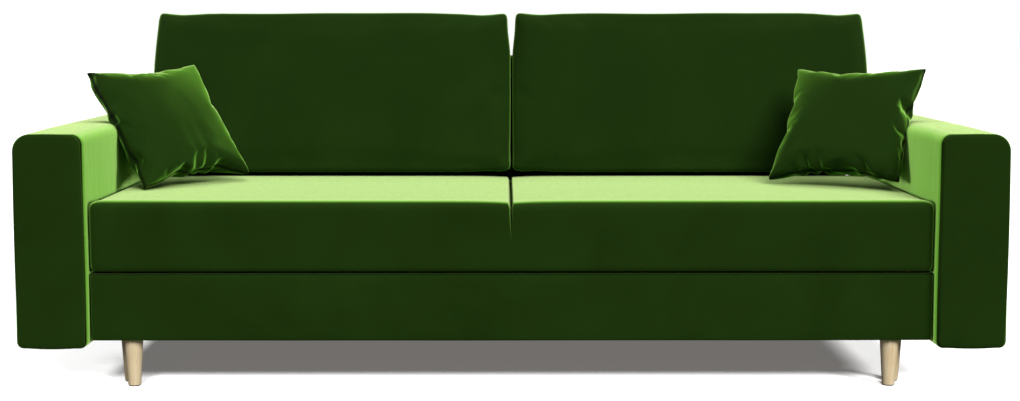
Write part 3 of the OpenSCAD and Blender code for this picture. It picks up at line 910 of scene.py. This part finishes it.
def make_back_cushion():
    """The right back cushion, cut flat where it will stand on the seat, then filled upright; it is leaned later.
    """
    inset = 3 * MM
    low = [cushion_low[0] + inset, inset, -45 * MM]
    high = [cushion_high[0] - inset, CUSHION_THICK - inset, cushion_tall - inset]
    piece = add_block("back_cushion_cover_right", low, high)
    lean_back(piece, cushion_foot)
    only(piece)
    bpy.ops.object.mode_set(mode="EDIT")
    bpy.ops.mesh.select_all(action="SELECT")
    cut_at = (0, 0, seat_high[2] + 3 * MM)
    bpy.ops.mesh.bisect(plane_co=cut_at, plane_no=(0, 0, 1), use_fill=True, clear_inner=True)
    bpy.ops.object.mode_set(mode="OBJECT")
    upright = (Matrix.Translation(cushion_foot) @ Matrix.Rotation(-LEAN, 4, "X")).inverted()
    piece.data.transform(upright)
    round_edges(piece, lambda a, b: True, CUSHION_EDGE, 3)
    even_quads(piece, CUSHION_QUAD)
    low[2] = 0
    dish(piece, low, high, 7 * MM)
    fill_with_air(piece, 13 * MM, pressure=5.0, bending=2.0)
    use_modifier(piece, "SUBSURF", levels=1, render_levels=1)
    now = points_of(piece)
    true_up(piece, 2, 0, now[:, 2].min(), cushion_tall + 9 * MM)
    true_up(piece, 0, 2, cushion_low[0], cushion_high[0] + 8 * MM)
    return piece, low, high


def shape_back_cushion(piece, low, high, seed):
    """Post-shapes the filled cushion: bulging free end, parted top corner, soft waves along the top."""
    co = points_of(piece)
    t = box_coordinates(co, low, high)
    across, up = (t[:, 0] + 1) / 2, (t[:, 2] + 1) / 2
    outer = smooth_ramp(across, 0.86, 1.0) * np.sin(np.pi * np.clip(up, 0, 1)) ** 0.8
    co[:, 0] += 14 * MM * outer
    inner = (1 - smooth_ramp(across, 0.0, 0.12)) * smooth_ramp(up, 0.74, 1.0)
    co[:, 0] += 8 * MM * inner
    round_foot = (1 - smooth_ramp(across, 0.0, 0.04)) * (1 - smooth_ramp(up, 0.0, 0.07))
    co[:, 0] += 9 * MM * round_foot
    co[:, 2] += 7 * MM * round_foot
    wave = np.sin(across * 9.0 + seed) + 0.5 * np.sin(across * 21.0 + 2.0 * seed)
    co[:, 2] += 0.8 * MM * wave * smooth_ramp(up, 0.8, 1.0)
    put_points(piece, co)


right_cushion, block_low, block_high = make_back_cushion()
left_cushion = mirrored_copy(right_cushion, "back_cushion_cover_left")
shape_back_cushion(right_cushion, block_low, block_high, 1.3)
flipped = points_of(left_cushion)
flipped[:, 0] *= -1
put_points(left_cushion, flipped)
shape_back_cushion(left_cushion, block_low, block_high, 4.4)
flipped = points_of(left_cushion)
flipped[:, 0] *= -1
flipped[:, 0] += 3.5 * MM * (1 + flipped[:, 0] / cushion_high[0])
put_points(left_cushion, flipped)
for cushion, side in ((right_cushion, "right"), (left_cushion, "left")):
    lean_back(cushion, cushion_foot)
    unevenness(cushion, 0.18, 2.0 * MM, 20.0, (0, 1, 0.2))
    co = points_of(cushion)
    co[:, 2] = np.maximum(co[:, 2], seat_high[2] + 1.5 * MM)
    put_points(cushion, co)
    # Painted shade: each cushion is darkened a little all over, and much more where it stands on the seat.
    contact = 1 - smooth_ramp(co[:, 2], seat_high[2] + 2 * MM, seat_high[2] + 16 * MM)
    mark_painted_shade(cushion, 0.16 + 0.6 * contact)
    only(cushion)
    bpy.ops.object.shade_smooth()
    upholster(cushion, f"back_cushion_{side}", "velvet_over_fibre", 0.85, f"back_cushion_{side}")

# %% [markdown]
# ## Throw pillows
#
# A throw pillow is two square panels sewn together and stuffed. Nothing keeps its edges straight: as the
# middle rises the sides are pulled in, the corners stay out as points, and the spare cloth along the seams
# gathers into folds. Two fine grids joined at their rim are filled, then scaled to the pillow's size, turned
# into place, and pressed against the seat, the arm and the back cushion.

# %% Throw pillows
PILLOW_SIDE = 348 * MM
PILLOW_THICK = 112 * MM
PILLOW_CELLS = 56
PILLOW_STRAIGHT = 0.55


def make_pillow(name, seed, side):
    """Two panels, sewn and filled, flat in the XZ plane; the edge beside the arm is kept straighter."""
    rim = 3 * MM
    half = PILLOW_SIDE / 2
    piece = add_block(name, [-half, -rim, -half], [half, rim, half])
    pick_edges(piece, lambda a, b: abs(a.y - b.y) < MM)
    bpy.ops.mesh.subdivide(number_cuts=PILLOW_CELLS - 1)
    bpy.ops.object.mode_set(mode="OBJECT")
    co = points_of(piece)
    for i, point in enumerate(co):
        drift = noise.noise(Vector((point[0] / 0.06, seed, point[2] / 0.06)))
        u, v = point[0] / half, point[2] / half
        dome = max(0.0, (1 - u * u) * (1 - v * v)) ** 0.5
        inside = min(1.0, 12 * (1 - max(abs(u), abs(v))))
        gathers = math.sin(17 * u + 3 * math.sin(5 * u + seed)) * math.exp(-4.5 * (1 + v))
        gathers += 0.7 * math.sin(11 * v + seed) * math.exp(-6 * (1 + u))
        push = 36 * MM * dome + 2 * MM * drift + 6 * MM * gathers * inside
        co[i, 1] += np.sign(point[1]) * push
    put_points(piece, co)
    fill_with_air(piece, 40 * MM, pressure=5.0, stiffness=10.0, bending=0.6, frames=16, shrink=-0.03)
    beside_arm = smooth_ramp(side * points_of(piece)[:, 0], 0, half)
    true_up(piece, 0, 2, -half, half, share=PILLOW_STRAIGHT * beside_arm)
    use_modifier(piece, "SUBSURF", levels=1, render_levels=1)
    co = points_of(piece)
    size = co.max(0) - co.min(0)
    co *= np.array([PILLOW_SIDE, PILLOW_THICK, PILLOW_SIDE]) / size
    full = PILLOW_THICK / 2
    co[:, 1] = np.sign(co[:, 1]) * full * np.abs(co[:, 1] / full) ** 0.8
    put_points(piece, co)
    # Painted shade: a narrow band along the seam, where the two panels dive in, is darkened.
    rim = np.abs(co[:, 1]) - 5 * MM * np.abs(co[:, [0, 2]]).max(1) / half
    mark_painted_shade(piece, 0.8 * (1 - smooth_ramp(rim, 0, 3 * MM)))
    return piece


def push_out_of_arm(co, side):
    """Moves points that are inside an arm out through its rounded top edge."""
    half = np.array([(arm_high[0] - arm_low[0]) / 2, (arm_high[2] - arm_low[2]) / 2])
    middle = np.array([side * (arm_low[0] + arm_high[0]) / 2, (arm_low[2] + arm_high[2]) / 2])
    rel = co[:, [0, 2]] - middle
    core = half - ARM_EDGE
    nearest = np.clip(rel, -core, core)
    away = rel - nearest
    length = np.linalg.norm(away, axis=1)
    clear = ARM_EDGE + 3 * MM
    inside = (length < clear) & (length > 1e-6)
    push = np.where(inside, clear / np.maximum(length, 1e-6), 1.0)
    co[:, [0, 2]] = middle + nearest + away * push[:, None]
    deep = length <= 1e-6
    co[deep, 0] = side * (arm_low[0] - 3 * MM)
    return co


def place_pillow(piece, side, middle, turn, tilt, roll):
    """Turns the pillow about Y, X and Z, moves it to its place and presses it on its neighbours."""
    turns = Matrix.Rotation(turn, 4, "Z") @ Matrix.Rotation(-tilt, 4, "X") @ Matrix.Rotation(roll, 4, "Y")
    piece.data.transform(Matrix.Translation(middle) @ turns)
    co = points_of(piece)
    co = push_out_of_arm(co, side)
    co[:, 2] = np.maximum(co[:, 2], seat_high[2] + 2.5 * MM)
    up = co[:, 2] - cushion_foot[2]
    front = cushion_foot[1] + up * math.tan(LEAN) - 6 * MM
    co[:, 1] = np.minimum(co[:, 1], front)
    put_points(piece, co)
    only(piece)
    bpy.ops.object.shade_smooth()


seat_half = seat_high[0]
PILLOW_UP = 154 * MM
pillow_height = seat_high[2] + PILLOW_UP
left_middle = (-seat_half + 104 * MM, cushion_foot[1] - 193 * MM, pillow_height)
right_middle = (seat_half - 127 * MM, cushion_foot[1] - 230 * MM, pillow_height + 2 * MM)
# Each pillow's side, its sign along X, its middle, and its turn, tilt and roll in degrees.
pillows = (
    ("left", -1, left_middle, (49, 36, -3)),
    ("right", 1, right_middle, (-33, 38, -2)),
)
throw_pillows = []
for side, sign, middle, angles in pillows:
    pillow = make_pillow(f"throw_pillow_cover_{side}", 7.0 + sign, sign)
    place_pillow(pillow, sign, middle, *(math.radians(angle) for angle in angles))
    upholster(pillow, f"throw_pillow_{side}", "velvet_over_fibre", 0.7, f"throw_pillow_{side}")
    throw_pillows.append(pillow)

# %% [markdown]
# ## Studio
#
# The floor and the background are plain white. Each light is a sun with a wide soft disc, which lights every
# piece evenly like a very large soft box. The key stands in front, to the right and above, and a soft sky
# hangs overhead. Light linking gives the other lights to chosen pieces only: one on the arm tops, one across
# each arm's inner side, where grazing velvet glows, and one from behind each end for a rim on the loose
# cushions and pillows. The floor has two suns of its own, which the arms do not block, so that the shadow
# gathers under the seat. The world looks white to the camera but lights the scene only dimly.

# %% Floor, lights and world
def make_paper():
    """Matt white studio paper with the faintest tooth."""
    material, tree, shader, place = new_finish("matt_white_paper")
    tooth = spread(tree, pattern(tree, place, 0.4, 2.0), 0, 1, 0.94, 0.97)
    tone = add_node(tree, "ShaderNodeCombineColor", {0: tooth, 1: tooth, 2: tooth}).outputs[0]
    tree.links.new(tone, shader.inputs["Base Color"])
    set_values(shader, Roughness=1.0, Specular_IOR_Level=0.0)
    set_values(shader, Emission_Color=(1, 1, 1, 1), Emission_Strength=0.14)
    return material


bpy.ops.object.select_all(action="DESELECT")
bpy.ops.mesh.primitive_plane_add(size=40, location=(0, 8, 0))
floor = bpy.context.object
floor.name = "studio_floor"
floor.data.materials.append(make_paper())
floor.visible_diffuse = False
floor.visible_glossy = False


def add_sun(name, toward, softness, strength):
    """Even light from far away; toward points from the sofa to the light."""
    light = bpy.data.lights.new(name, "SUN")
    light.angle = math.radians(softness)
    light.energy = strength
    lamp = bpy.data.objects.new(name, light)
    lamp.rotation_euler = Vector(toward).to_track_quat("Z", "Y").to_euler()
    scene.collection.objects.link(lamp)
    return lamp


def light_only(lamp, name, pieces, state):
    """Light linking: the lamp lights only these pieces, or all but these."""
    group = bpy.data.collections.new(name)
    for piece in pieces:
        group.objects.link(piece)
    lamp.light_linking.receiver_collection = group
    for member in group.collection_objects:
        member.light_linking.link_state = state


KEY_FROM = (0.34, -1.0, 0.74)
SKY_FROM = (0.1, 0.12, 1.0)
ARM_TOP_FROM = (0, -0.1, 1.0)
FLOOR_SUN = 4.3
RIM_SUN = 1.2
arm_pieces = [arm_left, arm_right]
loose_pieces = [right_cushion, left_cushion, *throw_pillows]
key = add_sun("key", KEY_FROM, 30, 2.8)
light_only(key, "key_on_all_but_these", [floor, *arm_pieces], "EXCLUDE")
overhead = add_sun("overhead_soft_sky", SKY_FROM, 60, 1.7)
light_only(overhead, "sky_on_all_but_these", [floor, *throw_pillows], "EXCLUDE")
arm_top_light = add_sun("light_on_arm_tops", ARM_TOP_FROM, 16, 1.05)
light_only(arm_top_light, "arm_top_light_pieces", arm_pieces, "INCLUDE")
for arm_side, toward, strength in (("left", 1.0, 2.4), ("right", -1.0, 1.95)):
    glow = add_sun(f"glow_on_{arm_side}_arm", (toward, -0.35, 0.12), 12, strength)
    light_only(glow, f"glow_on_{arm_side}_arm_pieces", arm_pieces, "INCLUDE")
    rim_light = add_sun(f"rim_light_from_the_{arm_side}", (-toward, 0.12, 0.2), 20, RIM_SUN)
    light_only(rim_light, f"rim_light_from_the_{arm_side}_pieces", loose_pieces, "INCLUDE")
arm_frames = [frame["nodes"][f"arm_frame_{arm_side}"] for arm_side in ("left", "right")]
no_shadow = bpy.data.collections.new("arms_without_floor_shadow")
for piece in (arm_left, arm_right, panel_left, panel_right, *arm_frames):
    no_shadow.objects.link(piece)
for from_side, across in (("right", 0.70), ("left", -0.06)):
    floor_light = add_sun(f"floor_light_{from_side}", (across, *KEY_FROM[1:]), 14, FLOOR_SUN)
    light_only(floor_light, f"floor_from_the_{from_side}", [floor], "INCLUDE")
    floor_light.light_linking.blocker_collection = no_shadow
for member in no_shadow.collection_objects:
    member.light_linking.link_state = "EXCLUDE"

world = bpy.data.worlds.new("white_studio")
scene.world = world
world.use_nodes = True
sky = world.node_tree
sky.nodes.clear()
seen = add_node(sky, "ShaderNodeBackground", {"Color": (1, 1, 1, 1), "Strength": 1.0})
dim = add_node(sky, "ShaderNodeBackground", {"Color": (1, 1, 1, 1), "Strength": 0.10})
ray = add_node(sky, "ShaderNodeLightPath", {}).outputs["Is Camera Ray"]
both = add_node(sky, "ShaderNodeMixShader", {0: ray, 1: dim.outputs[0], 2: seen.outputs[0]})
add_node(sky, "ShaderNodeOutputWorld", {"Surface": both.outputs[0]})
scene.view_settings.view_transform = "Standard"
print("studio ready")
